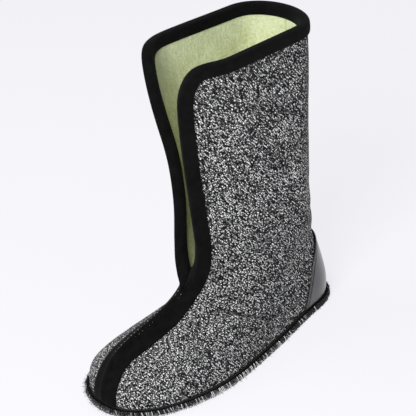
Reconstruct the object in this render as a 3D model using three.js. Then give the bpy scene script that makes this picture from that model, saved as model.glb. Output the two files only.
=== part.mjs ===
// A left felt boot liner: foil-flecked felt upper, tape-bound collar and front slit, heel patch and sewn sole.
// Millimetres. +Z is up, the toe points to -Y, +X is the wearer's left, which is the outer side of this left foot.
// The origin is on the floor, under the middle of the heel.
import * as THREE from "three";
import { mergeVertices } from "three/addons/utils/BufferGeometryUtils.js";

// Driving sizes.
const SOLE_LENGTH = 287; // toe tip to back of heel, along the upper's lower edge
const BALL_WIDTH = 110;
const WAIST_WIDTH = 82;
const HEEL_WIDTH = 65;
const TOE_WIDTH = 102;
const SHAFT_WIDTH = 88;
const INSTEP_HEIGHT = 84; // floor to the foot of the front slit
const COLLAR_HEIGHT = 313;
const WALL = 6; // felt and fleece together
const SOLE_THICKNESS = 6;
const INSOLE_THICKNESS = 4;
const TOE_SPRING = 5;
const ARCH_RISE = 2;
const HEEL_ROLL = 1.5;
const CORNER_RADIUS = 23; // front corners of the collar
const SLIT_WIDTH = 27; // between the two felt edges at the ankle
const TAPE_WIDTH = 12.5; // of the binding on the outer face, along the slit
const COLLAR_TAPE_WIDTH = 10; // of the binding on the outer face, round the collar
const TAPE_INSIDE = 9.5; // of the binding on the lining
const TAPE_THICKNESS = 1.7;
const BAND_WIDTH = 17; // of each half of the front band, from the seam over the toe
const BAND_RIDGE = 1.2; // how far the stitched ridge stands up along the middle of the front band
const PATCH_HEIGHT = 72; // floor to the top of the heel patch
const PATCH_REACH = 80; // round the heel, from the back seam to the patch's lower front corner
const PATCH_THICKNESS = 1.5;
const SEAM_WIDTH = 4.2; // the overlocked sole seam, out from the felt
const SEAM_HEIGHT = 7; // floor to the top of that seam
const CLEARANCE = 0.4; // between pieces that lie on each other
const TAPE_FIT = 0.6; // between the felt and the tapes and patch, which turn tight corners with it

// The last's outline on the floor: middle line and widths at stations along the sole, from toe to heel.
// Station is a share of SOLE_LENGTH, middle a share of BALL_WIDTH, and positive is towards the outer side.
const OUTLINE = [
  { station: 0.0, middle: -0.04, width: TOE_WIDTH * 0.97 },
  { station: 0.1, middle: -0.08, width: TOE_WIDTH },
  { station: 0.34, middle: 0.0, width: BALL_WIDTH },
  { station: 0.62, middle: 0.035, width: WAIST_WIDTH },
  { station: 0.85, middle: -0.015, width: HEEL_WIDTH },
  { station: 1.0, middle: -0.02, width: HEEL_WIDTH * 0.98 },
];

// Level rings of the upper, from the sole edge to the foot of the slit. Front and back are how far the ring's ends stand
// in from the toe tip and the heel, as shares of SOLE_LENGTH, and frontUp and backUp their heights, as shares of the
// rise from the sole to INSTEP_HEIGHT. Foot is how much of the foot's outline the ring keeps and spread scales its
// width. Nose and tail are how long its two ends taper, as shares of SOLE_LENGTH, and point makes the front end
// sharper: 0 is round, as at the toe, and 1 comes to an edge, as at the seam along the vamp. Inner is the inner half's
// width against the outer half's towards the ring's front: full at the big toe, slimmer over the instep, and flared at
// the collar. The halves are even at the back.
const FOOT_RINGS = [
  { front: 0.0, frontUp: 0.0, back: 0.0, backUp: 0.0, foot: 1.0, spread: 1.0, inner: 1.0, nose: 0.18, tail: 0.13, point: 0 },
  { front: 0.008, frontUp: 0.2, back: 0.0, backUp: 0.24, foot: 1.0, spread: 1.03, inner: 0.96, nose: 0.17, tail: 0.13, point: 0.1 },
  { front: 0.04, frontUp: 0.39, back: 0.011, backUp: 0.48, foot: 1.0, spread: 1.0, inner: 0.79, nose: 0.2, tail: 0.13, point: 0.3 },
  { front: 0.095, frontUp: 0.56, back: 0.025, backUp: 0.72, foot: 1.0, spread: 0.94, inner: 0.66, nose: 0.32, tail: 0.13, point: 0.7 },
  { front: 0.18, frontUp: 0.71, back: 0.04, backUp: 0.95, foot: 0.9, spread: 0.89, inner: 0.66, nose: 0.56, tail: 0.13, point: 1 },
  { front: 0.28, frontUp: 0.85, back: 0.045, backUp: 1.17, foot: 0.6, spread: 0.9, inner: 0.78, nose: 0.6, tail: 0.13, point: 1 },
  { front: 0.375, frontUp: 1.0, back: 0.056, backUp: 1.38, foot: 0.3, spread: 0.92, inner: 1.1, nose: 0.5, tail: 0.13, point: 1 },
];

// Level rings of the shaft, above the foot of the slit. The heights are shares of the rise from INSTEP_HEIGHT to
// COLLAR_HEIGHT, and gap is the front slit's width as a share of SLIT_WIDTH.
const SHAFT_RINGS = [
  { front: 0.408, frontUp: 0.15, back: 0.066, backUp: 0.27, foot: 0.1, spread: 0.94, inner: 1.12, nose: 0.36, tail: 0.13, gap: 1.1 },
  { front: 0.416, frontUp: 0.36, back: 0.062, backUp: 0.44, foot: 0.0, spread: 0.95, inner: 1.08, nose: 0.3, tail: 0.13, gap: 0.85 },
  { front: 0.408, frontUp: 0.58, back: 0.054, backUp: 0.62, foot: 0.0, spread: 0.97, inner: 1.03, nose: 0.26, tail: 0.13, gap: 0.8 },
  { front: 0.388, frontUp: 0.79, back: 0.045, backUp: 0.8, foot: 0.0, spread: 0.99, inner: 1.08, nose: 0.22, tail: 0.12, gap: 1.22 },
  { front: 0.375, frontUp: 1.03, back: 0.04, backUp: 1.0, foot: 0.0, spread: 1.01, inner: 1.13, nose: 0.17, tail: 0.12, gap: 1.7 },
];

// Mesh density.
const COLUMNS = 24; // from the front to the back seam, on each side
const FOOT_STEPS = 3; // mesh rows between two level rings
const SHAFT_STEPS = 3;
const ACROSS = 4; // strips across the sole

const SOLE_TOP = SOLE_THICKNESS + CLEARANCE;
const HEEL_CENTRE = SOLE_LENGTH - HEEL_WIDTH / 2; // from the toe tip
const THROAT = FOOT_RINGS.length - 1; // the level at the foot of the slit
const TOP = THROAT + SHAFT_RINGS.length; // the collar's level
const RISE_PER_RING = (COLLAR_HEIGHT - INSTEP_HEIGHT) / SHAFT_RINGS.length;

// Every ring in millimetres.
const RINGS = [
  ...FOOT_RINGS.map((r) => ring(r, SOLE_TOP, INSTEP_HEIGHT, 0)),
  ...SHAFT_RINGS.map((r) => ring({ ...r, point: 1 }, INSTEP_HEIGHT, COLLAR_HEIGHT, (r.gap * SLIT_WIDTH) / 2)),
];

function ring(r, low, high, halfGap) {
  return {
    front: r.front * SOLE_LENGTH,
    back: (1 - r.back) * SOLE_LENGTH,
    frontUp: low + r.frontUp * (high - low),
    backUp: low + r.backUp * (high - low),
    foot: r.foot,
    spread: r.spread,
    nose: r.nose * SOLE_LENGTH,
    tail: r.tail * SOLE_LENGTH,
    point: r.point,
    inner: r.inner,
    halfGap,
  };
}

// Smooth interpolation through evenly spaced values.
function smooth(values, at) {
  const i = Math.min(Math.max(Math.floor(at), 0), values.length - 2);
  const t = at - i;
  const b = values[i];
  const c = values[i + 1];
  const a = i > 0 ? values[i - 1] : 2 * b - c;
  const d = i + 2 < values.length ? values[i + 2] : 2 * c - b;
  return b + 0.5 * t * (c - a + t * (2 * a - 5 * b + 4 * c - d + t * (3 * (b - c) + d - a)));
}

const level = (h) => {
  const r = {};
  for (const key of Object.keys(RINGS[0]))
    r[key] = smooth(RINGS.map((row) => row[key]), h);
  r.halfGap = h > THROAT ? Math.max(r.halfGap, 0) : 0;
  return r;
};

// Smooth interpolation through the outline's stations, at a distance from the toe.
function outline(y, key) {
  const s = THREE.MathUtils.clamp(y / SOLE_LENGTH, 0, 1);
  let i = 0;
  while (i < OUTLINE.length - 2 && s > OUTLINE[i + 1].station) i++;
  const t = (s - OUTLINE[i].station) / (OUTLINE[i + 1].station - OUTLINE[i].station);
  const slope = (k) => {
    const lo = OUTLINE[Math.max(k - 1, 0)];
    const hi = OUTLINE[Math.min(k + 1, OUTLINE.length - 1)];
    return (hi[key] - lo[key]) / (hi.station - lo.station);
  };
  const span = OUTLINE[i + 1].station - OUTLINE[i].station;
  const t2 = t * t;
  const t3 = t2 * t;
  return (
    (2 * t3 - 3 * t2 + 1) * OUTLINE[i][key] +
    (t3 - 2 * t2 + t) * span * slope(i) +
    (3 * t2 - 2 * t3) * OUTLINE[i + 1][key] +
    (t3 - t2) * span * slope(i + 1)
  );
}

// A ring's tapered end: 0 at its tip and 1 where it has reached its full width.
const taper = (v, point) => (1 - (1 - THREE.MathUtils.clamp(v, 0, 1)) ** 2) ** (0.5 + 0.5 * point);

// How far the felt is lifted off the floor at a place along and across the sole.
function lift(x, y) {
  const toe = THREE.MathUtils.clamp(1 - y / (0.2 * SOLE_LENGTH), 0, 1);
  const heel = THREE.MathUtils.clamp((y / SOLE_LENGTH - 0.96) / 0.04, 0, 1);
  const along = THREE.MathUtils.clamp((y / SOLE_LENGTH - 0.44) / 0.3, 0, 1);
  const inner = THREE.MathUtils.clamp(0.5 - x / WAIST_WIDTH, 0, 1);
  return TOE_SPRING * toe ** 2 + HEEL_ROLL * heel ** 2 + ARCH_RISE * Math.sin(Math.PI * along) ** 2 * inner;
}

// A point of the upper's outer face. Side is 1 on the outer half of the boot and -1 on the inner half, and turn runs
// from 0 at the front edge to PI at the back. A round front end is walked by its angle, and a pointed one by its length.
function skin(side, turn, h) {
  const r = level(h);
  const start = 0.7 * THREE.MathUtils.clamp(r.point, 0, 1);
  const round = start + (1 - start / Math.PI) * turn;
  const along = (Math.cos(start) - Math.cos(round)) / (Math.cos(start) + 1);
  const y = r.front + along * (r.back - r.front);
  const balance = side > 0 ? 1 : THREE.MathUtils.lerp(r.inner, 1, THREE.MathUtils.smoothstep(along, 0.25, 0.9));
  const full = (outline(y, "width") * r.foot + SHAFT_WIDTH * (1 - r.foot)) * 0.5 * r.spread * balance;
  const nose = taper((y - r.front) / r.nose, r.point);
  const half = (r.halfGap + (full - r.halfGap) * nose) * taper((r.back - y) / r.tail, 0);
  const x = outline(y, "middle") * BALL_WIDTH * r.foot + side * half;
  const onFoot = THREE.MathUtils.clamp(1 - h / THROAT, 0, 1);
  return new THREE.Vector3(x, y - HEEL_CENTRE, r.frontUp + along * (r.backUp - r.frontUp) + lift(x, y) * onFoot);
}

// How the outer face runs along the turn and up the levels, per unit of each.
function slopes(side, turn, h) {
  const back = Math.max(turn - 0.004, 0);
  const fore = Math.min(turn + 0.004, Math.PI);
  const low = Math.max(h - 0.02, h > THROAT ? THROAT : 0);
  const high = Math.min(h + 0.02, h > THROAT - 1e-6 ? TOP : THROAT);
  return {
    along: skin(side, fore, h).sub(skin(side, back, h)).divideScalar(fore - back),
    up: skin(side, turn, high).sub(skin(side, turn, low)).divideScalar(high - low),
  };
}

// Whether the two halves share this place: the back seam, and the front below the slit.
const joined = (turn, h) => turn > Math.PI - 1e-6 || (turn < 1e-6 && h < THROAT + 1e-6);

// The way out of the felt, level at the sole. Where the two halves meet at an edge, it is the mitre between them.
function outward(side, turn, h) {
  const one = (s) => {
    const { along, up } = slopes(s, Math.max(turn, 0.004), h);
    const n = along.cross(up).multiplyScalar(s).normalize();
    n.z *= Math.min(2 * h, 1);
    return n.normalize();
  };
  if (!joined(turn, h)) return one(side);
  const [outer, inner] = [one(1), one(-1)];
  const mitre = outer.clone().add(inner).normalize();
  return mitre.divideScalar(Math.max(mitre.dot(outer.add(inner)) / 2, 0.6));
}

// A point out from the outer face, or into the felt and beyond for a negative distance. Each half stays on its own side.
function at(side, turn, h, out) {
  const p = skin(side, turn, h);
  const middle = h > THROAT ? 0 : skin(side, 0, h).x;
  const least = middle + 0.15 * (p.x - middle);
  p.addScaledVector(outward(side, turn, h), out);
  if (out < 0 && !joined(turn, h) && side * (p.x - least) < 0) p.x = least;
  return p;
}

// Walk over the outer face from one of its points, in a direction, for a distance.
function walk(side, turn, h, direction, distance) {
  const steps = 5;
  for (let i = 0; i < steps; i++) {
    const { along, up } = slopes(side, turn, h);
    const a = along.dot(along);
    const b = along.dot(up);
    const c = up.dot(up);
    const p = direction.dot(along);
    const q = direction.dot(up);
    const scale = distance / steps / (a * c - b * b);
    turn = THREE.MathUtils.clamp(turn + (p * c - q * b) * scale, 0, Math.PI);
    h = THREE.MathUtils.clamp(h + (q * a - p * b) * scale, 0, TOP);
  }
  return [turn, h];
}

// The level of the top edge, which is rounded at the front corners.
function topLevel(turn) {
  const reach = CORNER_RADIUS - (skin(1, turn, TOP).y - skin(1, 0, TOP).y);
  if (reach <= 0) return TOP;
  return TOP - (CORNER_RADIUS - Math.sqrt(CORNER_RADIUS ** 2 - reach ** 2)) / RISE_PER_RING;
}

// A closed solid from a list of quads and triangles, each a list of points in order round its outer face.
function solid(name, faces, colour, roughness) {
  const positions = [];
  for (const face of faces)
    for (let k = 1; k + 1 < face.length; k++) {
      const [a, b, c] = [face[0], face[k], face[k + 1]];
      const flat = a.distanceTo(b) < 1e-4 || b.distanceTo(c) < 1e-4 || c.distanceTo(a) < 1e-4;
      if (!flat) positions.push(...a.toArray(), ...b.toArray(), ...c.toArray());
    }
  const geometry = new THREE.BufferGeometry();
  geometry.setAttribute("position", new THREE.Float32BufferAttribute(positions, 3));
  const welded = mergeVertices(geometry, 1e-3);
  welded.computeVertexNormals();
  const mesh = new THREE.Mesh(welded, new THREE.MeshStandardMaterial({ color: colour, roughness }));
  mesh.name = name;
  return mesh;
}

// The faces of a grid of points, seen from the side where rows rise and columns run to the right.
function gridFaces(grid) {
  const faces = [];
  for (let i = 0; i + 1 < grid.length; i++)
    for (let j = 0; j + 1 < grid[i].length; j++)
      faces.push([grid[i][j], grid[i + 1][j], grid[i + 1][j + 1], grid[i][j + 1]]);
  return faces;
}

const turned = (faces) => faces.map((face) => [...face].reverse());

// The faces of a plate between an outer and an inner grid of the same shape.
function plateFaces(outer, inner) {
  const last = outer.length - 1;
  const top = outer[0].length - 1;
  return [
    ...gridFaces(outer),
    ...turned(gridFaces(inner)),
    ...gridFaces([inner[0], outer[0]]),
    ...turned(gridFaces([inner[last], outer[last]])),
    ...turned(gridFaces([inner.map((c) => c[0]), outer.map((c) => c[0])])),
    ...gridFaces([inner.map((c) => c[top]), outer.map((c) => c[top])]),
  ];
}

// The faces of a closed ring swept through cross-sections, each a closed list of points.
function ringFaces(sections) {
  const closed = sections.map((section) => [...section, section[0]]);
  return gridFaces([...closed, closed[0]]);
}

const count = (n) => Array.from({ length: n + 1 }, (_, i) => i);
const TURNS = count(COLUMNS).map((i) => (i * Math.PI) / COLUMNS);
const THROAT_ROW = THROAT * FOOT_STEPS;
const TOP_ROW = THROAT_ROW + SHAFT_RINGS.length * SHAFT_STEPS;
const BOUND_ROW = THROAT_ROW + 3; // the folded binding starts here, where the slit is wide enough to take it

// The level of a mesh row above a turn. The rows of the shaft are closest at the foot of the slit, and close up under the
// rounded corner.
function rowLevel(turn, row) {
  if (row <= THROAT_ROW) return row / FOOT_STEPS;
  return THROAT + (topLevel(turn) - THROAT) * ((row - THROAT_ROW) / (TOP_ROW - THROAT_ROW)) ** 1.35;
}

// Upper: two felt halves, joined at the back and along the vamp, open at the collar, the slit and underneath.
function buildUpper() {
  const faces = [];
  for (const side of [1, -1]) {
    const layer = (out) => TURNS.map((turn) => count(TOP_ROW).map((row) => at(side, turn, rowLevel(turn, row), out)));
    const outer = layer(0);
    const inner = layer(-WALL);
    const half = [
      ...gridFaces(outer),
      ...turned(gridFaces(inner)),
      ...turned(gridFaces([inner.map((c) => c[0]), outer.map((c) => c[0])])),
      ...gridFaces([inner.map((c) => c[TOP_ROW]), outer.map((c) => c[TOP_ROW])]),
      ...gridFaces([inner[0].slice(THROAT_ROW), outer[0].slice(THROAT_ROW)]),
    ];
    faces.push(...(side > 0 ? half : turned(half)));
  }
  return solid("upper", faces, "#5b5d60", 0.9);
}

// A flat piece that lies along the sole, between two heights above the floor's lift, inside an edge.
function bottomPiece(name, edge, low, high, colour) {
  const layer = (z) =>
    TURNS.map((turn) => {
      const outer = edge(1, turn);
      const inner = edge(-1, turn);
      return count(ACROSS).map((k) => {
        const p = outer.clone().lerp(inner, k / ACROSS);
        p.z = z + lift(p.x, p.y + HEEL_CENTRE);
        return p;
      });
    });
  return solid(name, plateFaces(layer(high), layer(low)), colour, 0.95);
}

// Sole: a felt plate as wide as the upper's lower edge, flat under the heel and the ball.
const buildSole = () => bottomPiece("sole", (side, turn) => skin(side, turn, 0), 0, SOLE_THICKNESS, "#3b3c3e");

// Insole: a thinner plate inside the wall.
function buildInsole() {
  const edge = (side, turn) => at(side, turn, 0.1, -WALL - 3 * CLEARANCE);
  return bottomPiece("insole", edge, SOLE_TOP, SOLE_TOP + INSOLE_THICKNESS, "#b7bd8c");
}

// Overlocked seam: a rounded rib right round the joint of sole and upper.
function buildSeam() {
  const half = (side) =>
    TURNS.map((turn) => {
      const edge = skin(side, turn, 0);
      const way = outward(side, turn, 0);
      const floor = lift(edge.x, edge.y + HEEL_CENTRE);
      const place = (out, z) => edge.clone().addScaledVector(way, out).setZ(floor + z);
      const foot = at(side, turn, (SEAM_HEIGHT - SOLE_TOP) / (RINGS[1].backUp - SOLE_TOP), CLEARANCE);
      return [
        place(CLEARANCE, 0.8),
        place(SEAM_WIDTH * 0.6, 0.6),
        place(SEAM_WIDTH, SEAM_HEIGHT * 0.32),
        place(SEAM_WIDTH, SEAM_HEIGHT * 0.62),
        place(SEAM_WIDTH * 0.6, SEAM_HEIGHT * 0.92),
        foot.setZ(floor + SEAM_HEIGHT),
        place(CLEARANCE, SOLE_TOP),
      ];
    });
  const outer = half(1);
  const inner = half(-1).slice(1, -1).reverse();
  return solid("overlock_seam", ringFaces([...outer, ...inner]), "#4a4b4d", 0.85);
}

// The way into the felt from a point of its edge, square to that edge.
const inward = (before, next, way) => next.clone().sub(before).cross(way).normalize();

// Collar binding: one folded tape from the slit round a front corner, the collar and the other corner, back to the slit.
function buildBinding() {
  const path = (side) => [
    ...count(TOP_ROW - BOUND_ROW).map((row) => [side, 0, rowLevel(0, row + BOUND_ROW)]),
    ...TURNS.slice(1).map((turn) => [side, turn, topLevel(turn)]),
  ];
  const stations = [...path(1), ...path(-1).slice(0, -1).reverse()];
  const points = stations.map(([side, turn, h]) => skin(side, turn, h));
  const layer = (outside) =>
    stations.map(([side, turn, h], i) => {
      const way = outward(side, turn, h);
      const into = inward(points[Math.max(i - 1, 0)], points[Math.min(i + 1, points.length - 1)], way);
      const place = (depth, out) => {
        if (depth > 0) return at(side, ...walk(side, turn, h, into, depth), out);
        return at(side, turn, h, out).addScaledVector(into, depth);
      };
      const t = outside ? TAPE_FIT + TAPE_THICKNESS : TAPE_FIT;
      const width = THREE.MathUtils.lerp(TAPE_WIDTH, COLLAR_TAPE_WIDTH, THREE.MathUtils.smoothstep(turn, 0, TURNS[3]));
      const fold = outside ? 0.75 : 1;
      const bulge = outside ? 0.4 * t : 0;
      return [
        place(width, t),
        place(width / 2, t + 0.1),
        place(0, t),
        place(-fold * t, bulge),
        place(-t, -WALL / 2),
        place(-fold * t, -WALL - bulge),
        place(0, -WALL - t),
        place(TAPE_INSIDE / 2, -WALL - t - 0.4),
        place(TAPE_INSIDE, -WALL - t - 0.4),
      ];
    });
  return solid("collar_binding", plateFaces(layer(true), layer(false)), "#141414", 0.8);
}

// Front band: the two bound edges side by side down the vamp, parting at the foot of the slit and running up its edges
// to the folded binding. A stitched ridge stands along the middle where they meet.
function buildBand() {
  const strip = [
    { across: 0, stand: BAND_RIDGE },
    { across: 0.16, stand: BAND_RIDGE * 0.6 },
    { across: 0.26, stand: 0 },
    { across: 0.64, stand: 0 },
    { across: 1, stand: -0.3 },
  ];
  const lowest = (SEAM_HEIGHT + 6 * CLEARANCE - SOLE_TOP) / (RINGS[1].frontUp - SOLE_TOP);
  const highest = rowLevel(0, BOUND_ROW) - (2 * CLEARANCE) / slopes(1, 0, rowLevel(0, BOUND_ROW)).up.length();
  const levels = [
    ...count(THROAT_ROW).map((i) => lowest + ((THROAT - lowest) * i) / THROAT_ROW),
    rowLevel(0, THROAT_ROW + 1),
    rowLevel(0, THROAT_ROW + 2),
    highest,
  ];
  const halfWidth = (h) => THREE.MathUtils.lerp(BAND_WIDTH, TAPE_WIDTH, THREE.MathUtils.smoothstep(h, THROAT - 1, highest));
  const faces = [];
  for (const side of [1, -1]) {
    const layer = (raised) =>
      strip.map(({ across, stand }) =>
        levels.map((h) => {
          const ridge = raised ? TAPE_THICKNESS + (h > THROAT ? Math.min(stand, 0) : stand) : 0;
          const up = slopes(side, 0.004, h).up;
          const into = up.cross(outward(side, 0.004, h)).multiplyScalar(side).normalize();
          const place = across > 0 ? walk(side, 0, h, into, across * halfWidth(h)) : [0, h];
          return at(side, ...place, TAPE_FIT + ridge);
        }),
      );
    const outer = layer(true);
    const inner = layer(false);
    const last = strip.length - 1;
    const half = [
      ...gridFaces(outer),
      ...turned(gridFaces(inner)),
      ...turned(gridFaces([inner[last], outer[last]])),
      ...turned(gridFaces([inner.map((c) => c[0]), outer.map((c) => c[0])])),
      ...gridFaces([inner.map((c) => c[levels.length - 1]), outer.map((c) => c[levels.length - 1])]),
      ...gridFaces([inner[0].slice(THROAT_ROW), outer[0].slice(THROAT_ROW)]),
    ];
    faces.push(...(side > 0 ? half : turned(half)));
  }
  return solid("front_band", faces, "#161616", 0.8);
}

// Heel patch: a leatherette panel wrapped round the heel, above the sole seam.
function buildPatch() {
  const rows = 8;
  const wide = 8; // turns of the mesh that the patch spans on each side
  const lowest = (SEAM_HEIGHT + 2 * CLEARANCE - SOLE_TOP) / (RINGS[1].backUp - SOLE_TOP);
  const heights = RINGS.map((r) => r.backUp);
  const above = heights.findIndex((z) => z > PATCH_HEIGHT);
  const highest = above - 1 + (PATCH_HEIGHT - heights[above - 1]) / (heights[above] - heights[above - 1]);
  let reach = Math.PI;
  while (skin(1, Math.PI, 0).distanceTo(skin(1, reach, 0)) < PATCH_REACH * 0.8) reach -= 0.01;
  const layer = (out) =>
    count(2 * wide).map((i) => {
      const share = (i - wide) / wide;
      const side = share < 0 ? 1 : -1;
      return count(rows).map((j) => {
        const up = j / rows;
        const span = (Math.PI - reach) * (1 - 0.155 * up ** 1.6);
        const h = lowest + (highest - lowest) * up * (1 - 0.3 * share ** 4);
        return at(side, Math.PI - Math.abs(share) * span, h, out);
      });
    });
  return solid("heel_patch", plateFaces(layer(TAPE_FIT + PATCH_THICKNESS), layer(TAPE_FIT)), "#1b1b1c", 0.35);
}

const bootLiner = new THREE.Group();
bootLiner.name = "boot_liner";
bootLiner.add(
  buildSole(),
  buildInsole(),
  buildUpper(),
  buildSeam(),
  buildBinding(),
  buildBand(),
  buildPatch(),
);

export default bootLiner;
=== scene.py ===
import math
import random

import bmesh
import bpy
from mathutils import Matrix, Vector, noise
from mathutils.bvhtree import BVHTree
from mathutils.kdtree import KDTree


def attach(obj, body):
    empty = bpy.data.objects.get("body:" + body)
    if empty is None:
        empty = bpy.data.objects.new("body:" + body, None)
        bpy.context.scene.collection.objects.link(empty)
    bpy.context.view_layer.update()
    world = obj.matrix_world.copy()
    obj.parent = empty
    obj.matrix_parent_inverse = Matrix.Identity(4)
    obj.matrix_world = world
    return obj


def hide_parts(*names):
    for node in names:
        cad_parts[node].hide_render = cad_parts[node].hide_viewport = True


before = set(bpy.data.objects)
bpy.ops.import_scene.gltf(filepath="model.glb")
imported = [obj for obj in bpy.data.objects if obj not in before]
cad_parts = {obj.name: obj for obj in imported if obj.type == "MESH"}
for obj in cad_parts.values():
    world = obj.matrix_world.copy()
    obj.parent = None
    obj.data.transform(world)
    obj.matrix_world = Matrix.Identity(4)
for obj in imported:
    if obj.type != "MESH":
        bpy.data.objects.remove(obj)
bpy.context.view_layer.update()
MM = 0.001

# Felt sole
# A flat blank of pressed black felt under the whole foot, with the toe and the heel turned up a little.
# It is die cut, so its rim is square with softened edges, and the overlocked seam joins it to the upper.
SOLE_EDGE = 0.8 * MM
SAME_POINT = 0.02 * MM
FELT_FIBRES = 900
FELT_PATCHES = 90
FELT_BLACK = (0.012, 0.012, 0.013, 1)
FELT_GREY = (0.06, 0.06, 0.064, 1)


def blank_from(node, name):
    """A new object with the CAD node's shape, its loose triangles sewn up and paired into quads."""
    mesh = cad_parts[node].data.copy()
    mesh.name = name
    bm = bmesh.new()
    bm.from_mesh(mesh)
    bmesh.ops.remove_doubles(bm, verts=bm.verts, dist=SAME_POINT)
    bmesh.ops.join_triangles(
        bm,
        faces=bm.faces,
        angle_face_threshold=math.radians(40),
        angle_shape_threshold=math.radians(60),
    )
    for face in bm.faces:
        face.smooth = True
    bm.to_mesh(mesh)
    bm.free()
    mesh.materials.clear()
    piece = bpy.data.objects.new(name, mesh)
    bpy.context.collection.objects.link(piece)
    return piece


def rounded(piece, width):
    """Softens the piece's sharp edges."""
    bevel = piece.modifiers.new("soft edges", "BEVEL")
    bevel.width = width
    bevel.segments = 2
    bevel.limit_method = "ANGLE"
    bevel.angle_limit = math.radians(40)


def smoothed(piece, levels):
    """Finishes the piece as a subdivision surface."""
    surface = piece.modifiers.new("smooth", "SUBSURF")
    surface.levels = levels
    surface.render_levels = levels


class Finish:
    """A node material in the making, on the piece's own Object coordinates."""

    def __init__(self, name, roughness=0.8, sheen=0.0, specular=0.5):
        self.material = bpy.data.materials.new(name)
        self.material.use_nodes = True
        self.nodes = self.material.node_tree.nodes
        self.links = self.material.node_tree.links
        self.shader = self.nodes["Principled BSDF"]
        self.shader.inputs["Roughness"].default_value = roughness
        self.shader.inputs["Sheen Weight"].default_value = sheen
        self.shader.inputs["Sheen Roughness"].default_value = 0.5
        self.shader.inputs["Specular IOR Level"].default_value = specular
        self.place = self.nodes.new("ShaderNodeTexCoord").outputs["Object"]

    def turned(self, scale, rotation):
        """Object coordinates turned by degrees, then stretched."""
        turn = self.nodes.new("ShaderNodeMapping")
        turn.inputs["Rotation"].default_value = [math.radians(a) for a in rotation]
        self.links.new(self.place, turn.inputs["Vector"])
        stretch = self.nodes.new("ShaderNodeMapping")
        stretch.inputs["Scale"].default_value = scale
        self.links.new(turn.outputs["Vector"], stretch.inputs["Vector"])
        return stretch.outputs["Vector"]

    def axis(self, name):
        """The X, Y or Z of the Object coordinates, in metres."""
        node = self.nodes.new("ShaderNodeSeparateXYZ")
        self.links.new(self.place, node.inputs["Vector"])
        return node.outputs[name]

    def noise(self, grain, detail=2.0, roughness=0.5):
        """Noise with that many grains a metre."""
        node = self.nodes.new("ShaderNodeTexNoise")
        node.inputs["Scale"].default_value = grain
        node.inputs["Detail"].default_value = detail
        node.inputs["Roughness"].default_value = roughness
        self.links.new(self.place, node.inputs["Vector"])
        return node.outputs["Fac"]

    def cells(self, place, randomness):
        """Voronoi cells: the distance from each cell's middle, and its own colour."""
        node = self.nodes.new("ShaderNodeTexVoronoi")
        node.inputs["Scale"].default_value = 1
        node.inputs["Randomness"].default_value = randomness
        self.links.new(place, node.inputs["Vector"])
        return node.outputs["Distance"], node.outputs["Color"]

    def bands(self, place, distortion):
        """Smooth stripes across the place's own X."""
        node = self.nodes.new("ShaderNodeTexWave")
        node.bands_direction = "X"
        node.inputs["Scale"].default_value = 1
        node.inputs["Distortion"].default_value = distortion
        self.links.new(place, node.inputs["Vector"])
        return node.outputs["Fac"]

    def ramp(self, value, stops):
        """Colours by value, from stops of (value, colour)."""
        node = self.nodes.new("ShaderNodeValToRGB")
        elements = node.color_ramp.elements
        while len(elements) < len(stops):
            elements.new(0.5)
        for element, (position, colour) in zip(elements, stops):
            element.position = position
            element.color = colour if len(colour) == 4 else (*colour, 1)
        self.links.new(value, node.inputs["Fac"])
        return node.outputs["Color"]

    def maths(self, operation, a, b=0.0):
        """One Math node on values or outputs."""
        node = self.nodes.new("ShaderNodeMath")
        node.operation = operation
        for socket, value in zip(node.inputs, (a, b)):
            if isinstance(value, (int, float)):
                socket.default_value = value
            else:
                self.links.new(value, socket)
        return node.outputs["Value"]

    def mixed(self, share, a, b, blend="MIX"):
        """Two colours mixed by share."""
        node = self.nodes.new("ShaderNodeMix")
        node.data_type = "RGBA"
        node.blend_type = blend
        factor = node.inputs[0]
        first, second = [s for s in node.inputs if s.type == "RGBA"][:2]
        for socket, value in ((factor, share), (first, a), (second, b)):
            if isinstance(value, (int, float)):
                socket.default_value = value
            elif isinstance(value, tuple):
                socket.default_value = value if len(value) == 4 else (*value, 1)
            else:
                self.links.new(value, socket)
        return [s for s in node.outputs if s.type == "RGBA"][0]

    def attribute(self, name):
        """A value that the piece's mesh carries at its points or faces."""
        node = self.nodes.new("ShaderNodeAttribute")
        node.attribute_name = name
        return node.outputs["Fac"]

    def colour(self, socket):
        """What feeds the base colour."""
        self.links.new(socket, self.shader.inputs["Base Color"])

    def input(self, name, socket):
        """What feeds another input of the shader."""
        self.links.new(socket, self.shader.inputs[name])

    def relief(self, height, depth, before=None):
        """Bumps of that depth in metres, on top of an earlier relief."""
        node = self.nodes.new("ShaderNodeBump")
        node.inputs["Strength"].default_value = 1
        node.inputs["Distance"].default_value = depth
        self.links.new(height, node.inputs["Height"])
        if before is not None:
            self.links.new(before, node.inputs["Normal"])
        self.links.new(node.outputs["Normal"], self.shader.inputs["Normal"])
        return node.outputs["Normal"]

    def on(self, piece):
        """Gives the piece this material as its next one."""
        piece.data.materials.append(self.material)


def fitted(piece, *nodes):
    """The piece stands for these CAD nodes and rides with the shoe."""
    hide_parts(*nodes)
    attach(piece, "root")


pressed_felt = Finish("pressed felt", roughness=0.95, sheen=0.06, specular=0.15)
felt_fibre = pressed_felt.noise(FELT_FIBRES, 4, 0.7)
felt_patch = pressed_felt.noise(FELT_PATCHES, 2)
pressed_felt.colour(
    pressed_felt.mixed(
        pressed_felt.maths("MULTIPLY", felt_patch, 0.5),
        pressed_felt.ramp(felt_fibre, [(0.35, FELT_BLACK), (0.75, FELT_GREY)]),
        FELT_BLACK,
    )
)
pressed_felt.relief(felt_fibre, 0.5 * MM)

sole = blank_from("sole", "felt_sole")
rounded(sole, SOLE_EDGE)
pressed_felt.on(sole)
fitted(sole, "sole")

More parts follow.
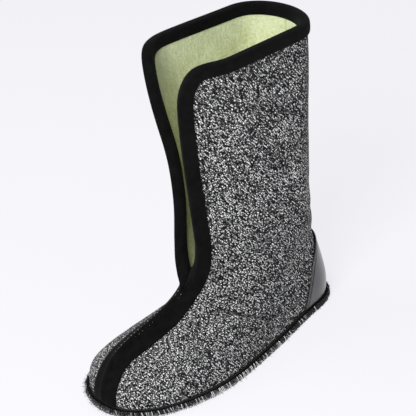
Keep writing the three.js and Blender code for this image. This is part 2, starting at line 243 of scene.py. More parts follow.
# Insole
# A loose footbed of the same fleece as the lining lies on the sole inside the shoe.
# It is cut to the foot with a soft edge, and its pile stands up in low tufts.
INSOLE_EDGE = 1.2 * MM
FLEECE_TUFTS = 420
FLEECE_HAIRS = 1600
FLEECE_STREAKS = 45
FLEECE_LIGHT = (0.68, 0.72, 0.45, 1)
FLEECE_MIDDLE = (0.54, 0.57, 0.28, 1)
FLEECE_DEEP = (0.36, 0.36, 0.14, 1)
# Painted light: near the top of the shaft the fleece is mixed towards a pale colour, as if lit where light
# falls in at the rim.
FLEECE_LIT_RIM = (0.57, 0.65, 0.46, 1)
RIM_LIGHT_FROM = 0.25
RIM_LIGHT_UP_TO = 0.315
BACK_SEAM_FINENESS = 300
BACK_SEAM_BEHIND = -0.02

fleece = Finish("fleece", roughness=0.95, sheen=0.2, specular=0.15)
fleece_tuft = fleece.noise(FLEECE_TUFTS, 3, 0.6)
fleece_hair = fleece.noise(FLEECE_HAIRS, 3, 0.7)
fleece_streak = fleece.noise(FLEECE_STREAKS, 3, 0.6)
fleece_shade = fleece.maths(
    "ADD",
    fleece.maths("MULTIPLY", fleece_tuft, 0.45),
    fleece.maths(
        "ADD",
        fleece.maths("MULTIPLY", fleece_streak, 0.35),
        fleece.maths("MULTIPLY", fleece_hair, 0.2),
    ),
)
fleece_tone = fleece.ramp(fleece_shade, [(0.34, FLEECE_DEEP), (0.48, FLEECE_MIDDLE), (0.58, FLEECE_LIGHT)])
# Painted light: the fleece turns paler towards the top of the shaft.
fleece_rim_painted_light = fleece.ramp(fleece.axis("Z"), [(RIM_LIGHT_FROM, (0,) * 3), (RIM_LIGHT_UP_TO, (0.6,) * 3)])
fleece_tone = fleece.mixed(fleece_rim_painted_light, fleece_tone, FLEECE_LIT_RIM)
# Painted shade of the flat back seam's groove: a dark line down the middle of the back.
from_back_seam = fleece.maths(
    "MULTIPLY", fleece.maths("ABSOLUTE", fleece.axis("X")), BACK_SEAM_FINENESS
)
back_seam_painted_shade = fleece.maths(
    "MULTIPLY",
    fleece.maths("GREATER_THAN", fleece.axis("Y"), BACK_SEAM_BEHIND),
    fleece.ramp(from_back_seam, [(0.1, (0.55,) * 3), (0.4, (0,) * 3)]),
)
fleece.colour(fleece.mixed(back_seam_painted_shade, fleece_tone, FLEECE_DEEP))
fleece.relief(fleece_hair, 0.35 * MM, fleece.relief(fleece_tuft, 0.9 * MM))

insole = blank_from("insole", "fleece_insole")
rounded(insole, INSOLE_EDGE)
fleece.on(insole)
fitted(insole, "insole")

# Upper
# The wall is thick felt faced with black cloth, and that cloth is full of short silver foil flecks.
# Two side panels are closed down the back, and the cloth creases softly over the ankle and instep.
FLECK_LENGTH = 2.2 * MM
FLECK_WIDTH = 1.0 * MM
FLECK_SLANT = 51
FLECK_DRIFTS = 38
KNIT_PITCH = 2.7 * MM
KNIT_PATCHES = 22
WAVE_PERIOD = 0.314
CLOTH_BLACK = (0.003, 0.003, 0.0035, 1)
FLECK_TONES = (
    (0.0, (0.01, 0.01, 0.011)),
    (0.3, (0.04, 0.04, 0.042)),
    (0.52, (0.34, 0.34, 0.34)),
    (0.74, (1.0, 1.0, 0.98)),
)
FOIL_SHINE = ((0.5, (0.75,) * 3), (0.9, (0.38,) * 3))
BAND_BLACK = (0.0015, 0.0015, 0.0015, 1)
BAND_GREY = (0.006, 0.006, 0.006, 1)
NAP_HAIRS = 1500
NAP_DRIFTS = 120

foil_cloth = Finish("foil flecked cloth", specular=0.1)
fleck_place = foil_cloth.turned(
    (1 / FLECK_WIDTH, 1 / FLECK_LENGTH, 1 / FLECK_WIDTH), (FLECK_SLANT, 0, 0)
)
fleck_distance, fleck_own = foil_cloth.cells(fleck_place, 0.9)
fleck_body = foil_cloth.ramp(fleck_distance, [(0.34, (1,) * 3), (0.62, (0,) * 3)])
fleck_drift = foil_cloth.ramp(foil_cloth.noise(FLECK_DRIFTS, 2), [(0.3, (0.78,) * 3), (0.7, (1,) * 3)])
knit_place = foil_cloth.turned((WAVE_PERIOD / KNIT_PITCH,) * 3, (FLECK_SLANT - 90, 0, 90))
knit_row = foil_cloth.bands(knit_place, 0.6)
knit_patch = foil_cloth.ramp(foil_cloth.noise(KNIT_PATCHES, 2), [(0.4, (0.15,) * 3), (0.6, (1,) * 3)])
fleck_row = foil_cloth.mixed(
    knit_patch, (1, 1, 1), foil_cloth.ramp(knit_row, [(0.0, (0.35,) * 3), (0.55, (1.2,) * 3)])
)
fleck_tone = foil_cloth.mixed(1.0, foil_cloth.ramp(fleck_own, FLECK_TONES), fleck_drift, "MULTIPLY")
fleck_tone = foil_cloth.mixed(1.0, fleck_tone, fleck_row, "MULTIPLY")
# Painted shade: the cloth is darkened in the sharp creases, by the mesh's fold attribute.
crease_painted_shade = foil_cloth.ramp(foil_cloth.attribute("fold"), [(0.0, (1,) * 3), (1.0, (0.22,) * 3)])
foil_cloth.colour(
    foil_cloth.mixed(1.0, foil_cloth.mixed(fleck_body, CLOTH_BLACK, fleck_tone), crease_painted_shade, "MULTIPLY")
)
foil_cloth.input("Roughness", foil_cloth.ramp(fleck_own, FOIL_SHINE))
foil_cloth.relief(fleck_body, 0.45 * MM)

brushed_cloth = Finish("black brushed cloth", roughness=0.9, sheen=0.02, specular=0.05)
brushed_nap = brushed_cloth.noise(NAP_HAIRS, 3, 0.7)
brushed_drift = brushed_cloth.noise(NAP_DRIFTS, 2, 0.6)
brushed_cloth.colour(
    brushed_cloth.ramp(
        brushed_cloth.maths(
            "ADD",
            brushed_cloth.maths("MULTIPLY", brushed_nap, 0.6),
            brushed_cloth.maths("MULTIPLY", brushed_drift, 0.4),
        ),
        [(0.4, BAND_BLACK), (0.7, BAND_GREY)],
    )
)
brushed_cloth.relief(brushed_nap, 0.25 * MM)

# Below the folded tape, the foot of the slit is bound with the same black cloth.
WALL_FOOT = 12 * MM
SLIT_FOOT = 84.5 * MM
SLIT_LEAN = (3.2 * MM, 1.6 * MM)
THROAT_HALF_WIDTH = 16 * MM
THROAT_BACK = -116 * MM
THROAT_TOP = 115 * MM
THROAT_MIDDLE = 100 * MM
TAPE_SWELL = 1.9 * MM
TAPE_REACH = 12.4 * MM
TAPE_TOP = 14 * MM

# The cloth is never quite flat. Its main creases are listed with both ends in millimetres, half width
# and depth, and a negative depth is a raised fold. The narrow ones are sharp, get a finer mesh and
# are darkened with painted shade.
CLOTH_WAVE = 0.25 * MM
CLOTH_WAVE_LENGTH = 14 * MM
SHARP_WIDTH = 3
SHARP_ZONE = 6 * MM
CREASES = (
    ((27, -142, 67), (32.5, -130.5, 66.7), 1.9, 1.3),
    ((32.5, -130.5, 66.7), (37, -125.5, 65), 1.9, 1.6),
    ((37, -125.5, 65), (46, -119, 61), 1.9, 1.7),
    ((46, -119, 61), (47.5, -110, 55), 1.9, 1.7),
    ((47.5, -110, 55), (47, -96, 45.5), 1.9, 1.6),
    ((47, -96, 45.5), (46.4, -89, 41), 1.9, 1.4),
    ((46.4, -89, 41), (44, -70, 34), 1.9, 0.9),
    ((38, -108, 82), (46, -78, 58), 9, -1.6),
    ((46, -128, 50), (50, -98, 38), 8, -1.0),
    ((36, -124, 302), (44, -88, 284), 7, 0.8),
    ((40, -96, 132), (42, -60, 112), 8, 0.8),
    ((-30, -138, 66), (-40, -112, 60), 5, 1.5),
    ((-40, -112, 60), (-46, -72, 42), 6, 1.5),
    ((-38, -104, 84), (-44, -72, 60), 9, -1.4),
    ((-40, -90, 130), (-42, -50, 108), 9, 1.0),
    ((30, 4, 112), (-30, 4, 114), 8, 1.2),
    ((34, -4, 142), (-34, -2, 138), 9, 0.8),
)


def baked(piece, levels):
    """The piece's subdivision surface as its own mesh, so that its points can be moved by hand."""
    smoothed(piece, levels)
    fine = bpy.data.meshes.new_from_object(piece.evaluated_get(bpy.context.evaluated_depsgraph_get()))
    piece.modifiers.clear()
    piece.data = fine


def between(value, start, end):
    """How far the value has come from the start to the end, from 0 to 1."""
    return min(1.0, max(0.0, (value - start) / (end - start)))


def off_line(point, start, end):
    """Distance from the line between two points."""
    line = end - start
    share = max(0.0, min(1.0, (point - start).dot(line) / line.length_squared))
    return (point - start - line * share).length


def wall_faces(bm, seed):
    """The faces reached from one face without crossing a sharp edge: one side of the wall."""
    found = {seed}
    front = [seed]
    while front:
        face = front.pop()
        for edge in face.edges:
            for other in edge.link_faces:
                if other not in found and face.normal.dot(other.normal) > 0.8:
                    found.add(other)
                    front.append(other)
    return found


def wall_side(bm, start, look):
    """The side of the wall that a straight look meets first."""
    bm.faces.ensure_lookup_table()
    hit = BVHTree.FromBMesh(bm).ray_cast(Vector(start) * MM, Vector(look))
    return wall_faces(bm, bm.faces[hit[2]])


def spread(piece):
    """Leans both edges of the slit apart near its foot, where the soft wall hangs open."""
    for vert in piece.data.vertices:
        low = between(vert.co.z, 76 * MM, 84 * MM)
        high = between(vert.co.z, 120 * MM, 98 * MM)
        front = between(vert.co.y, -90 * MM, -106 * MM)
        near = between(abs(vert.co.x), 36 * MM, 20 * MM)
        side = math.copysign(between(abs(vert.co.x), 0, 7 * MM), vert.co.x)
        share = side * low * high * high * (3 - 2 * high) * front * near
        vert.co.x += SLIT_LEAN[0] * share
        vert.co.y += SLIT_LEAN[1] * share


CLOTH_SIDE, CUT_EDGE, FLEECE_SIDE, BOUND = 0, 1, 2, 3


def side_of(face, cloth_side, fleece_side):
    """The face's side of the wall. Round the throat, sharp folds part some faces from their side."""
    centre = face.calc_center_median()
    looks_out = abs(centre.x) > THROAT_HALF_WIDTH and centre.x * face.normal.x > 0.4 * abs(centre.x)
    if face in cloth_side:
        return CLOTH_SIDE
    if face in fleece_side:
        return FLEECE_SIDE
    if looks_out and WALL_FOOT < centre.z < THROAT_TOP:
        return CLOTH_SIDE
    if WALL_FOOT < centre.z < SLIT_FOOT - 0.5 * MM:
        return FLEECE_SIDE
    if centre.y > THROAT_BACK and WALL_FOOT < centre.z < THROAT_MIDDLE:
        return FLEECE_SIDE
    return CUT_EDGE


upper = blank_from("upper", "foil_cloth_wall")
spread(upper)
for finish in (foil_cloth, pressed_felt, pressed_felt, brushed_cloth):
    finish.on(upper)
bm = bmesh.new()
bm.from_mesh(upper.data)
cloth_side = wall_side(bm, (300, -35, 200), (-1, 0, 0)) | wall_side(bm, (-300, -35, 200), (1, 0, 0))
fleece_side = wall_side(bm, (0, -35, 200), (1, 0, 0)) | wall_side(bm, (0, -35, 200), (-1, 0, 0))
for face in bm.faces:
    face.material_index = side_of(face, cloth_side, fleece_side)
bm.to_mesh(upper.data)
bm.free()
lining = upper.copy()
lining.data = upper.data.copy()
lining.name = "fleece_lining"
bpy.context.collection.objects.link(lining)
baked(upper, 2)
bm = bmesh.new()
bm.from_mesh(upper.data)
bm.normal_update()
wall_tree = BVHTree.FromBMesh(bm)
creases = []
for first, last, reach, depth in CREASES:
    start = wall_tree.find_nearest(Vector(first) * MM)[0]
    end = wall_tree.find_nearest(Vector(last) * MM)[0]
    creases.append((start, end, reach, depth))
sharp = [(start, end) for start, end, reach, _ in creases if reach < SHARP_WIDTH]
near_sharp = []
for edge in bm.edges:
    middle = (edge.verts[0].co + edge.verts[1].co) / 2
    if min(off_line(middle, start, end) for start, end in sharp) < SHARP_ZONE:
        near_sharp.append(edge)
bmesh.ops.subdivide_edges(bm, edges=near_sharp, cuts=3, use_grid_fill=True)
bm.normal_update()
inside = {vert for face in bm.faces if face.material_index == FLEECE_SIDE for vert in face.verts}
cut_edge = {vert for face in bm.faces if face.material_index == CUT_EDGE for vert in face.verts}
slit_edge = [
    vert.co.copy()
    for vert in cut_edge
    if vert.co.y < -100 * MM and SLIT_FOOT - 4 * MM < vert.co.z < SLIT_FOOT + 30 * MM
]
edge_tree = KDTree(len(slit_edge))
for i, point in enumerate(slit_edge):
    edge_tree.insert(point, i)
edge_tree.balance()


def under_tape(point, reach, top):
    """True near the foot of the slit, where the tape covers the cloth and the fleece."""
    low = SLIT_FOOT - 6 * MM < point.z < SLIT_FOOT + top
    return low and edge_tree.find(point)[2] < reach


def tape_rise(point):
    """How thick the tape lies at a point near the foot of the slit."""
    if not under_tape(point, TAPE_REACH, 18 * MM):
        return 0.0
    near = between(edge_tree.find(point)[2], TAPE_REACH, TAPE_REACH - 1.5 * MM)
    above = between(point.z, SLIT_FOOT - 2 * MM, SLIT_FOOT + 3 * MM)
    below = between(point.z, SLIT_FOOT + 16 * MM, SLIT_FOOT + 12 * MM)
    return TAPE_SWELL * near * above * below


fold = bm.verts.layers.float.new("fold")
for vert in bm.verts:
    if vert in cut_edge or vert not in inside:
        vert.co += vert.normal * tape_rise(vert.co)
    if vert in inside:
        continue
    move = CLOTH_WAVE * noise.noise(vert.co / CLOTH_WAVE_LENGTH)
    trough = 0.0
    for start, end, reach, depth in creases:
        off = off_line(vert.co, start, end) / (reach * MM)
        dip = depth * MM * math.exp(-(off**2))
        if reach < SHARP_WIDTH:
            trough = max(trough, dip)
            # The fold attribute carries the painted shade of the sharp creases.
            vert[fold] = max(vert[fold], min(1.0, 0.6 * depth * math.exp(-((off / 0.8) ** 2))))
        else:
            move -= dip
    vert.co += vert.normal * (move - trough)
bm.to_mesh(upper.data)
bm.free()
for face in upper.data.polygons:
    if under_tape(face.center, TAPE_REACH, TAPE_TOP):
        face.material_index = BOUND
fitted(upper, "upper")

# Fleece lining
# Pale green pile lines the whole inside and is sewn to the felt wall with a flat seam down the back.
# The pile is short and lies in small lumps, and its edges run in under the tape.
LINING_LIFT = 1.3 * MM
LIP_INSIDE = 10 * MM
LIP_TOP = 20 * MM
PILE_LUMP = 0.45 * MM
PILE_PITCH = 3.2 * MM
FLAT_SEAM_WIDTH = 1.6 * MM
FLAT_SEAM_DEPTH = 0.9 * MM
BACKING = 0.8 * MM

bm = bmesh.new()
bm.from_mesh(lining.data)
bm.normal_update()
other_sides = [face for face in bm.faces if face.material_index != FLEECE_SIDE]
bmesh.ops.delete(bm, geom=other_sides, context="FACES")
bm.to_mesh(lining.data)
bm.free()
baked(lining, 2)
bm = bmesh.new()
bm.from_mesh(lining.data)
bm.normal_update()
for vert in bm.verts:
    lump = noise.noise(vert.co / PILE_PITCH) + 0.5 * noise.noise(vert.co / (0.5 * PILE_PITCH))
    seam = math.exp(-((vert.co.x / FLAT_SEAM_WIDTH) ** 2)) if vert.co.y > BACK_SEAM_BEHIND else 0.0
    pile = LINING_LIFT + PILE_LUMP * lump - FLAT_SEAM_DEPTH * seam
    if under_tape(vert.co, LIP_INSIDE, LIP_TOP):
        pile = max(LINING_LIFT, 1.4 * tape_rise(vert.co))
    vert.co += vert.normal * pile
bm.to_mesh(lining.data)
bm.free()
lining.data.materials.clear()
fleece.on(lining)
brushed_cloth.on(lining)
for face in lining.data.polygons:
    face.material_index = 1 if under_tape(face.center, LIP_INSIDE, LIP_TOP) else 0
backing = lining.modifiers.new("backing", "SOLIDIFY")
backing.thickness = BACKING
backing.offset = -1
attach(lining, "root")

# Heel patch
# Smooth black leatherette is wrapped round the heel as a wear patch and sewn on along its front edges.
# Its front edge is folded under, which leaves a narrow raised strip and a groove beside it, darkened with
# painted shade.
HEM_WIDTH = 3.2 * MM
HEM_RISE = 0.45 * MM
HEM_GROOVE = 0.8 * MM
HEM_FALL = 0.5 * MM
RIM_ANGLE = 0.9
PATCH_FOOT = 13 * MM
LEATHER_GRAIN = 1400
LEATHER_WEAR = 45
LEATHERETTE = (0.005, 0.005, 0.0055, 1)
LEATHERETTE_WORN = (0.014, 0.014, 0.015, 1)

leatherette = Finish("leatherette")
leatherette.shader.inputs["Coat Roughness"].default_value = 0.2
leatherette.shader.inputs["Coat IOR"].default_value = 1.65
leather_grain = leatherette.noise(LEATHER_GRAIN, 3, 0.6)
leather_wear = leatherette.noise(LEATHER_WEAR, 3, 0.6)
leather_tone = leatherette.ramp(leather_wear, [(0.4, LEATHERETTE), (0.75, LEATHERETTE_WORN)])
# Painted shade: the groove beside the hem is darkened nearly to black and loses its coat and specular
# shine.
groove_painted_shade = leatherette.attribute("groove")
leatherette.colour(leatherette.mixed(groove_painted_shade, leather_tone, (0.001, 0.001, 0.001)))
leatherette.input("Coat Weight", leatherette.ramp(groove_painted_shade, [(0.0, (0.48,) * 3), (0.6, (0,) * 3)]))
leatherette.input(
    "Specular IOR Level", leatherette.ramp(groove_painted_shade, [(0.0, (0.5,) * 3), (0.6, (0,) * 3)])
)
leatherette.input("Roughness", leatherette.ramp(leather_wear, [(0.3, (0.27,) * 3), (0.8, (0.38,) * 3)]))
leatherette.relief(leather_grain, 0.06 * MM)

heel_patch = blank_from("heel_patch", "leatherette_heel")
bm = bmesh.new()
bm.from_mesh(heel_patch.data)
outline = []
for edge in bm.edges:
    if edge.calc_face_angle(0) > RIM_ANGLE:
        first, last = (vert.co for vert in edge.verts)
        outline += [first.lerp(last, step / 8) for step in range(9)]
bm.free()
outline = [point for point in outline if point.z > PATCH_FOOT]
hem_tree = KDTree(len(outline))
for i, point in enumerate(outline):
    hem_tree.insert(point, i)
hem_tree.balance()
baked(heel_patch, 3)
bm = bmesh.new()
bm.from_mesh(heel_patch.data)
bm.normal_update()
in_groove = bm.verts.layers.float.new("groove")
for vert in bm.verts:
    if vert.normal.dot(vert.co - Vector((0, -30 * MM, vert.co.z))) > 0:
        reach = hem_tree.find(vert.co)[2]
        hem = between(reach, HEM_WIDTH, HEM_WIDTH - HEM_FALL)
        groove = math.exp(-(((reach - HEM_WIDTH - HEM_FALL) / HEM_FALL) ** 2))
        vert.co += vert.normal * (HEM_RISE * hem - HEM_GROOVE * groove)
        # The groove attribute carries the groove's painted shade.
        vert[in_groove] = groove
bm.to_mesh(heel_patch.data)
bm.free()
leatherette.on(heel_patch)
fitted(heel_patch, "heel_patch")

# Front band
# A broad band of black brushed cloth covers the front seam from the toe to the throat.
# The two panels meet under it, and its own middle seam is overlocked into a low ridge.
front_band = blank_from("front_band", "vamp_band")
spread(front_band)
smoothed(front_band, 2)
brushed_cloth.on(front_band)
fitted(front_band, "front_band")

# Tape binding
# Soft black tape is folded over the raw edge of the wall: up one side of the slit, round the collar
# and down the other side. It is sewn through both lips, and its two ends run in under the front band.
TAPE_END = 97 * MM
TAPE_EASE = 9 * MM
TAPE_RUN_IN = (4.5 * MM, 2 * MM, 9.5 * MM)

binding = blank_from("collar_binding", "tape_binding")
spread(binding)
for vert in binding.data.vertices:
    share = between(vert.co.z, TAPE_END + TAPE_EASE, TAPE_END)
    vert.co.x -= math.copysign(TAPE_RUN_IN[0], vert.co.x) * share
    vert.co.y -= TAPE_RUN_IN[1] * share
    vert.co.z -= TAPE_RUN_IN[2] * share
smoothed(binding, 2)
brushed_cloth.on(binding)
fitted(binding, "collar_binding")

# Overlocked sole seam
# The edges of the wall and the sole are overlocked together all round, with black and silver threads.
# The seam stands out as a rope of close loops, and cut thread ends fray out of it at the toe.
THREAD_PITCH = 1.7 * MM
THREAD_RADIUS = 0.4 * MM
THREAD_FIBRES = 2500
LOOP_START = 62
LOOP_SWEEP = 145
FRAY_COUNT = 1200
FRAY_LENGTH = 3 * MM
FRAY_RADIUS = 0.24 * MM
FRAY_TIP_RADIUS = 0.08 * MM
THREAD_BLACK = (0.008, 0.008, 0.009, 1)
THREAD_GREY = (0.06, 0.06, 0.06, 1)
THREAD_SILVER = (0.6, 0.6, 0.6, 1)
RIB_HEIGHT = 7 * MM
RIB_WIDTH = 4.2 * MM
TOE_MIDDLE = Vector((0, -200 * MM, 0))
HEEL_MIDDLE = Vector((0, -8 * MM, 0))
SIDE_SHARE = 0.42
LOOK_HEIGHTS = (3.5 * MM, 5 * MM, 6.5 * MM, 8 * MM)
FAR_OUT = 0.2

thread_yarn = Finish("overlock thread", roughness=0.75, sheen=0.15, specular=0.3)
thread_fibre = thread_yarn.noise(THREAD_FIBRES, 3, 0.7)
thread_shade = thread_yarn.maths(
    "ADD", thread_yarn.attribute("shade"), thread_yarn.maths("MULTIPLY", thread_fibre, 0.25)
)
thread_yarn.colour(
    thread_yarn.ramp(thread_shade, [(0.15, THREAD_BLACK), (0.6, THREAD_GREY), (1.0, THREAD_SILVER)])
)
thread_yarn.relief(thread_fibre, 0.15 * MM)

rib = blank_from("overlock_seam", "overlock_rib")
smoothed(rib, 2)
brushed_cloth.on(rib)
fitted(rib, "overlock_seam")


def rib_line():
    """Points along the middle of the rib, found by looking in from all round at the toe, sides and heel."""
    bm = bmesh.new()
    bm.from_mesh(rib.data)
    tree = BVHTree.FromBMesh(bm)
    bm.free()
    points = []
    for step in range(720):
        turn = 2 * math.pi * step / 720
        way = Vector((math.cos(turn), math.sin(turn), 0))
        start = HEEL_MIDDLE if way.y > 0 else TOE_MIDDLE
        if abs(way.y) < SIDE_SHARE:
            start = TOE_MIDDLE.lerp(HEEL_MIDDLE, (way.y / SIDE_SHARE + 1) / 2)
            way = Vector((math.copysign(1, way.x), 0, 0))
        hits = [
            tree.ray_cast(start + way * FAR_OUT + Vector((0, 0, height)), -way)[0]
            for height in LOOK_HEIGHTS
        ]
        reach = max((hit - start).dot(way) for hit in hits if hit is not None)
        middle = start + way * (reach - RIB_WIDTH / 2)
        top = tree.ray_cast(Vector((middle.x, middle.y, 0.05)), Vector((0, 0, -1)))[0]
        foot = tree.ray_cast(Vector((middle.x, middle.y, -0.05)), Vector((0, 0, 1)))[0]
        if top is not None and foot is not None:
            points.append((top + foot) / 2)
    return points


def evenly(points, pitch, closed):
    """The line through the points, cut into equal steps: each step's place and direction."""
    ring = points + points[:1] if closed else points
    lengths = [0.0]
    for first, last in zip(ring, ring[1:]):
        lengths.append(lengths[-1] + (last - first).length)
    steps = round(lengths[-1] / pitch)
    found = []
    i = 0
    for step in range(steps):
        reach = lengths[-1] * (step + 0.5) / steps
        while lengths[i + 1] < reach:
            i += 1
        share = (reach - lengths[i]) / (lengths[i + 1] - lengths[i])
        found.append((ring[i].lerp(ring[i + 1], share), (ring[i + 1] - ring[i]).normalized()))
    return found


def thread_loop(width, height, radius, start, sweep):
    """One thread bent about Y from the start angle through the sweep, in degrees from X towards Z."""
    bm = bmesh.new()
    bmesh.ops.create_circle(
        bm, cap_ends=False, segments=5, radius=radius, matrix=Matrix.Translation((width, 0, 0))
    )
    turn = Matrix.Rotation(-math.radians(start), 3, "Y")
    bmesh.ops.rotate(bm, verts=bm.verts, cent=(0, 0, 0), matrix=turn)
    bmesh.ops.spin(
        bm,
        geom=bm.verts[:] + bm.edges[:],
        cent=(0, 0, 0),
        axis=(0, 1, 0),
        angle=math.radians(sweep),
        steps=7,
    )
    bmesh.ops.holes_fill(bm, edges=[edge for edge in bm.edges if edge.is_boundary])
    bmesh.ops.scale(bm, verts=bm.verts, vec=(1, 1, height / width))
    bmesh.ops.recalc_face_normals(bm, faces=bm.faces)
    mesh = bpy.data.meshes.new("thread")
    bm.to_mesh(mesh)
    bm.free()
    return mesh


def sewn(bm, thread, place, shade):
    """One more thread in the seam, put in its place and given its shade."""
    before = len(bm.verts)
    bm.from_mesh(thread)
    bm.verts.ensure_lookup_table()
    verts = bm.verts[before:]
    layer = bm.verts.layers.float["shade"]
    for vert in verts:
        vert.co = place @ vert.co
        vert[layer] = shade


def as_piece(bm, name):
    """The finished mesh as a new smooth piece."""
    for face in bm.faces:
        face.smooth = True
    mesh = bpy.data.meshes.new(name)
    bm.to_mesh(mesh)
    bm.free()
    piece = bpy.data.objects.new(name, mesh)
    bpy.context.collection.objects.link(piece)
    return piece


def standing(point, out, up):
    """A place with X the way out, Z up and Y along."""
    across = up.cross(out).normalized()
    turn = Matrix((out, across, out.cross(across))).transposed().to_4x4()
    return Matrix.Translation(point) @ turn


def frayed_end():
    """A short cut thread end that stands along Z and tapers to its tip."""
    bm = bmesh.new()
    bmesh.ops.create_cone(
        bm,
        cap_ends=True,
        segments=4,
        radius1=FRAY_RADIUS,
        radius2=FRAY_TIP_RADIUS,
        depth=FRAY_LENGTH,
        matrix=Matrix.Translation((0, 0, FRAY_LENGTH / 2)),
    )
    mesh = bpy.data.meshes.new("frayed end")
    bm.to_mesh(mesh)
    bm.free()
    return mesh


chance = random.Random(7)
fray = frayed_end()
bm = bmesh.new()
bm.verts.layers.float.new("shade")
loop = thread_loop(
    RIB_WIDTH / 2 + 0.6 * MM, RIB_HEIGHT / 2 + 0.2 * MM, THREAD_RADIUS, LOOP_START, LOOP_SWEEP
)
seam_steps = evenly(rib_line(), THREAD_PITCH, True)
for point, way in seam_steps:
    out = way.cross(Vector((0, 0, 1))).normalized()
    heel_share = between(point.y, -70 * MM, -10 * MM)
    under_band = point.y < -246 * MM and abs(point.x + 6 * MM) < 17 * MM
    silver = chance.random() > 0.45 + 0.52 * heel_share and not under_band
    shade = chance.uniform(0.35, 1.0) if silver else chance.uniform(0.0, 0.25 - 0.2 * heel_share)
    slant = Matrix.Rotation(math.radians(14 + chance.uniform(-9, 9)), 4, "X")
    grow = Matrix.Scale(chance.uniform(0.94, 1.1), 4)
    sewn(bm, loop, standing(point, out, Vector((0, 0, 1))) @ slant @ grow, shade)
for _ in range(FRAY_COUNT):
    point, way = chance.choice(seam_steps)
    out = way.cross(Vector((0, 0, 1))).normalized()
    at_heel = point.y > -50 * MM
    if -140 * MM < point.y < -50 * MM and chance.random() > 0.45:
        continue
    lean = out + way * chance.uniform(-0.7, 0.7) + Vector((0, 0, chance.uniform(-0.35, 0.5)))
    turn = lean.to_track_quat("Z", "Y").to_matrix().to_4x4()
    start = point + out * RIB_WIDTH * 0.45 + Vector((0, 0, chance.uniform(-2.2, 1.5) * MM))
    longer = Matrix.Diagonal((1, 1, chance.uniform(0.5, 1.0 if at_heel else 1.7), 1))
    shade = chance.uniform(0, 0.15) if at_heel or chance.random() > 0.7 else chance.uniform(0.6, 1)
    sewn(bm, fray, Matrix.Translation(start) @ turn @ longer, shade)
loops = as_piece(bm, "overlock_threads")
thread_yarn.on(loops)
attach(loops, "root")

# Zigzag seam on the front band
# The two halves of the band are overlocked edge to edge, so dark grey threads cross its middle ridge.
# The row runs from the sole seam over the toe and the instep to the foot of the slit.
ZIGZAG_PITCH = 2.1 * MM
ZIGZAG_WIDTH = 2.7 * MM
ZIGZAG_HEIGHT = 1.7 * MM
ZIGZAG_RADIUS = 0.45 * MM
ZIGZAG_SINK = 0.9 * MM
ZIGZAG_SLANT = 22
LOOK_DOWN = math.radians(50)
RIDGE_FROM = -188
RIDGE_TO = -57
LEVEL = 0.02


def ridge_line():
    """Points along the band's ridge, where its face turns from the inner side to the outer side."""
    tree = BVHTree.FromObject(front_band, bpy.context.evaluated_depsgraph_get())
    look = Vector((0, math.cos(LOOK_DOWN), -math.sin(LOOK_DOWN)))
    climb = Vector((0, math.sin(LOOK_DOWN), math.cos(LOOK_DOWN)))
    points = []
    for step in range(RIDGE_FROM, RIDGE_TO):
        start = climb * step * MM - look * 0.5
        last = None
        for across in range(-60, 50):
            hit, normal, _, _ = tree.ray_cast(start + Vector((across * 0.4 * MM, 0, 0)), look)
            if hit is None:
                continue
            if last is not None and last[1] < -LEVEL and normal.x > LEVEL:
                points.append((last[0] + hit) / 2)
                break
            if abs(normal.x) > LEVEL:
                last = (hit, normal.x)
    smooth = []
    for i in range(len(points)):
        near = points[max(0, i - 3) : i + 4]
        smooth.append(sum(near, Vector()) / len(near))
    return smooth


bm = bmesh.new()
bm.verts.layers.float.new("shade")
zigzag = thread_loop(ZIGZAG_WIDTH, ZIGZAG_HEIGHT, ZIGZAG_RADIUS, 0, 180)
for i, (point, way) in enumerate(evenly(ridge_line(), ZIGZAG_PITCH, False)):
    up = way.cross(Vector((-1, 0, 0))).normalized()
    if up.z < 0:
        up = -up
    slant = math.radians(ZIGZAG_SLANT if i % 2 else -ZIGZAG_SLANT) + chance.uniform(-0.08, 0.08)
    skew = Matrix.Rotation(slant, 4, "Z")
    place = standing(point - up * ZIGZAG_SINK, way.cross(up).normalized(), up)
    sewn(bm, zigzag, place @ skew, chance.uniform(0.45, 0.8))
ridge_seam = as_piece(bm, "band_zigzag_seam")
thread_yarn.on(ridge_seam)
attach(ridge_seam, "root")

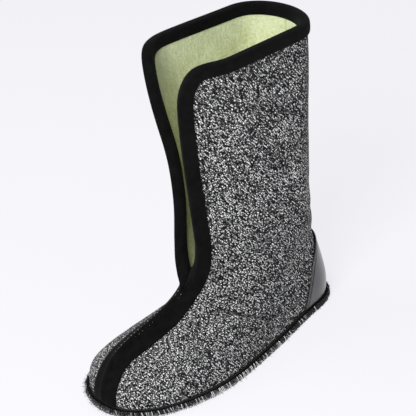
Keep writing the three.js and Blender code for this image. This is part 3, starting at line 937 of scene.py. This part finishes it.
# Floor, light and camera
# A pale table top, a broad soft key light from the camera's left and a weak fill from the inner side.
# The camera looks down at the outer side from beside the toe, rolled as in the photo.
FLOOR_SIDE = 6
PAPER_DARK = (0.15, 0.15, 0.155)
PAPER_LIGHT = (0.155, 0.155, 0.16)
PAPER_GLOW = (0.96, 0.955, 1, 1)
bpy.ops.mesh.primitive_plane_add(size=FLOOR_SIDE)
floor = bpy.context.object
floor.name = "floor"
paper = Finish("pale paper", roughness=0.9, specular=0.1)
paper.colour(paper.ramp(paper.noise(3), [(0.3, PAPER_DARK), (0.7, PAPER_LIGHT)]))
paper.shader.inputs["Emission Color"].default_value = PAPER_GLOW
paper.shader.inputs["Emission Strength"].default_value = 0.79
paper.on(floor)


def softbox(name, place, aim, side, power):
    """A square studio light that looks at aim."""
    light = bpy.data.lights.new(name, "AREA")
    light.size = side
    light.energy = power
    lamp = bpy.data.objects.new(name, light)
    bpy.context.collection.objects.link(lamp)
    lamp.location = place
    lamp.rotation_euler = (Vector(aim) - Vector(place)).to_track_quat("-Z", "Y").to_euler()


SHOE_MIDDLE = (0, -0.1, 0.14)
KEY_PLACE = (0.72, -1.45, 1.35)
FILL_PLACE = (-0.7, -0.7, 1.7)
softbox("key light", KEY_PLACE, SHOE_MIDDLE, 0.9, 44)
softbox("fill light", FILL_PLACE, SHOE_MIDDLE, 1.0, 8)
world = bpy.data.worlds.new("studio")
world.use_nodes = True
world.node_tree.nodes["Background"].inputs["Color"].default_value = (0.95, 0.96, 1, 1)
world.node_tree.nodes["Background"].inputs["Strength"].default_value = 0.39
bpy.context.scene.world = world
bpy.context.scene.view_settings.view_transform = "Standard"

CAMERA_RIGHT = Vector((0.6975, 0.7114, -0.0859))
CAMERA_UP = Vector((-0.3084, 0.4062, 0.8602))
CAMERA_BACK = CAMERA_RIGHT.cross(CAMERA_UP).normalized()
CAMERA_TARGET = Vector((-13.8, -93.5, 143.8)) * MM
CAMERA_DISTANCE = 1.8
lens = bpy.data.cameras.new("camera")
lens.sensor_width = 36
lens.lens = 164.3
camera = bpy.data.objects.new("camera", lens)
bpy.context.collection.objects.link(camera)
turn = Matrix((CAMERA_RIGHT, CAMERA_UP, CAMERA_BACK)).transposed().to_4x4()
camera.matrix_world = Matrix.Translation(CAMERA_TARGET + CAMERA_BACK * CAMERA_DISTANCE) @ turn
bpy.context.scene.camera = camera
